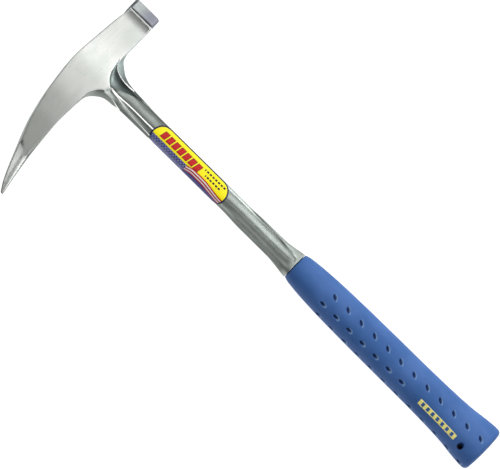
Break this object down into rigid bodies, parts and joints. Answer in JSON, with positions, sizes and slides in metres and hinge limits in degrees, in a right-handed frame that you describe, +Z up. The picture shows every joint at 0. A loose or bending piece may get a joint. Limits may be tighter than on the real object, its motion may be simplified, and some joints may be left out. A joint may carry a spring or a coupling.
{
  "type": "geologist's pick hammer",
  "caption": "Long-handled geologist's pick: one steel forging with a curved pointed pick and a square poll, fluted shank and moulded dimpled grip.",
  "frame": {"origin": "centre of the bounding box in X and Y, at the lowest point of the grip's butt, the hammer lying on its side", "axes": "+X towards the striking face, +Y from the butt to the crown of the head, +Z up and square to the forging's mid-plane"},
  "size_m": [0.1792, 0.419, 0.029],
  "materials": {
    "ground_steel": "cheeks belt-ground, shank and flutes polished over forged steel",
    "blue_vinyl": "satin moulded vinyl",
    "label_film": "printed adhesive film, yellow with plain coloured bands",
    "stamped_foil": "pale yellow hot-stamped foil"
  },
  "bodies": {
    "root": {"forged_body": "ground_steel", "grip": "blue_vinyl", "shank_label": "label_film", "grip_mark": "stamped_foil"}
  },
  "joints": []
}
